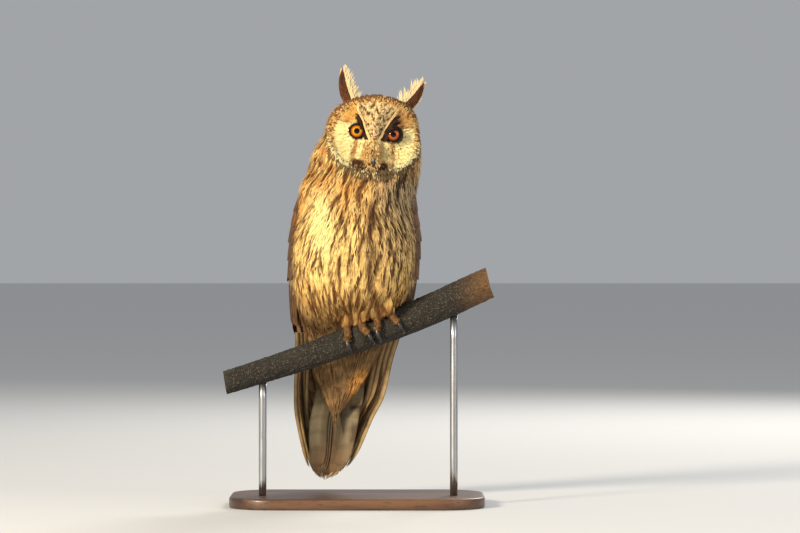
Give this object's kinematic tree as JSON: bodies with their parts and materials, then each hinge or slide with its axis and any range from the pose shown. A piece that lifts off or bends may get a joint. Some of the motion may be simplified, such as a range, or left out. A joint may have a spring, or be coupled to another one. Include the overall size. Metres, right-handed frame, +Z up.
{
  "type": "long-eared owl, still model on a perch",
  "caption": "Life-size still model of a long-eared owl perched upright on a short sloping branch, on a display stand with a flat base and rods.",
  "frame": {"origin": "middle of the underside of the stand's base", "axes": "+Z up, +X to the owl's left, and the owl faces -Y"},
  "size_m": [0.249, 0.1469, 0.3986],
  "materials": {
    "plumage": "soft body feathers, buff and cream with dark brown shaft streaks, matt",
    "flight_feathers": "stiff wing and tail feathers, grey brown with dark bars, satin",
    "eye": "orange iris round a black pupil under a clear wet front",
    "horn": "blackish horn of the bill and claws, satin",
    "toe_down": "short orange buff down on the legs and toes, matt",
    "bark": "weathered grey brown bark with pale lichen, rough",
    "stand_wood": "dark stained and oiled hardwood, satin",
    "stand_steel": "brushed steel rods"
  },
  "bodies": {
    "root": {"torso": "plumage", "neck": "plumage", "head": "plumage", "eye_left": "eye", "eye_right": "eye", "bill_upper": "horn", "bill_lower": "horn", "ear_tuft_left": "plumage", "ear_tuft_right": "plumage", "wing_left": "flight_feathers", "wing_right": "flight_feathers", "tail": "flight_feathers", "perch_branch": "bark", "stand_base": "stand_wood", "stand_rod_1": "stand_steel", "stand_rod_2": "stand_steel", "leg_left": "toe_down", "foot_left": "toe_down", "claw_left_front_outer": "horn", "claw_left_front_inner": "horn", "claw_left_back_outer": "horn", "claw_left_back_inner": "horn", "leg_right": "toe_down", "foot_right": "toe_down", "claw_right_front_outer": "horn", "claw_right_front_inner": "horn", "claw_right_back_outer": "horn", "claw_right_back_inner": "horn"}
  },
  "joints": []
}
